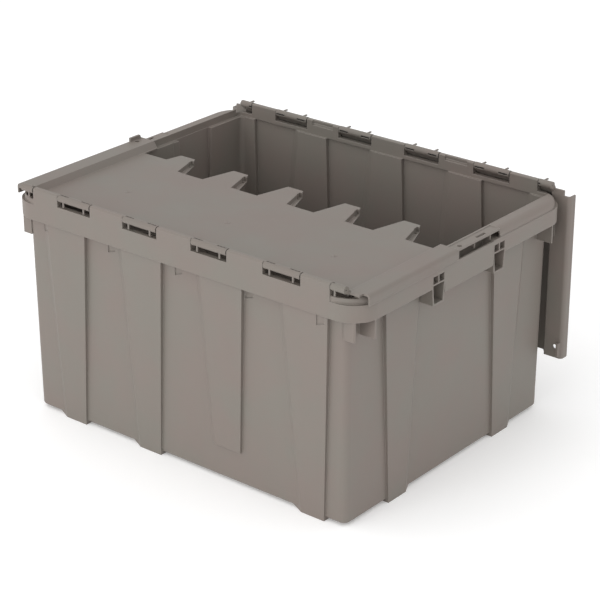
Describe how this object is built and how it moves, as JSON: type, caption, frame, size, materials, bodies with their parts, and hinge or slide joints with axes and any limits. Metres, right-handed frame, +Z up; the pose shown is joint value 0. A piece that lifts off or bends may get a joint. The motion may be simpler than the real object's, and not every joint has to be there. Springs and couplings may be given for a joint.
{
  "type": "attached lid tote",
  "caption": "Nestable moulded tote with two interlocking hinged lids on steel rods, side handles and seal lugs.",
  "frame": {"origin": "middle of the footprint box, on the surface that the feet stand on, with the front lid shut and the rear lid hanging open", "axes": "+X along the long side, towards the right handle; +Y towards the rear lid's hinge; +Z up"},
  "size_m": [0.711, 0.5615, 0.397],
  "materials": {
    "tub_plastic": "fine texture",
    "lid_plastic": "fine texture",
    "rod_steel": "drawn wire"
  },
  "bodies": {
    "container": {"container": "tub_plastic", "front_hinge_rod": "rod_steel", "rear_hinge_rod": "rod_steel"},
    "front_lid": {"front_lid": "lid_plastic"},
    "rear_lid": {"rear_lid": "lid_plastic"}
  },
  "joints": [
    {"name": "front_lid_hinge", "type": "hinge", "parent": "container", "child": "front_lid", "pos_m": [0, -0.27475, 0.391], "axis": [1, 0, 0], "range_deg": [0, 270]},
    {"name": "rear_lid_hinge", "type": "hinge", "parent": "container", "child": "rear_lid", "pos_m": [0, 0.25925, 0.391], "axis": [-1, 0, 0], "range_deg": [-270, 0]}
  ]
}
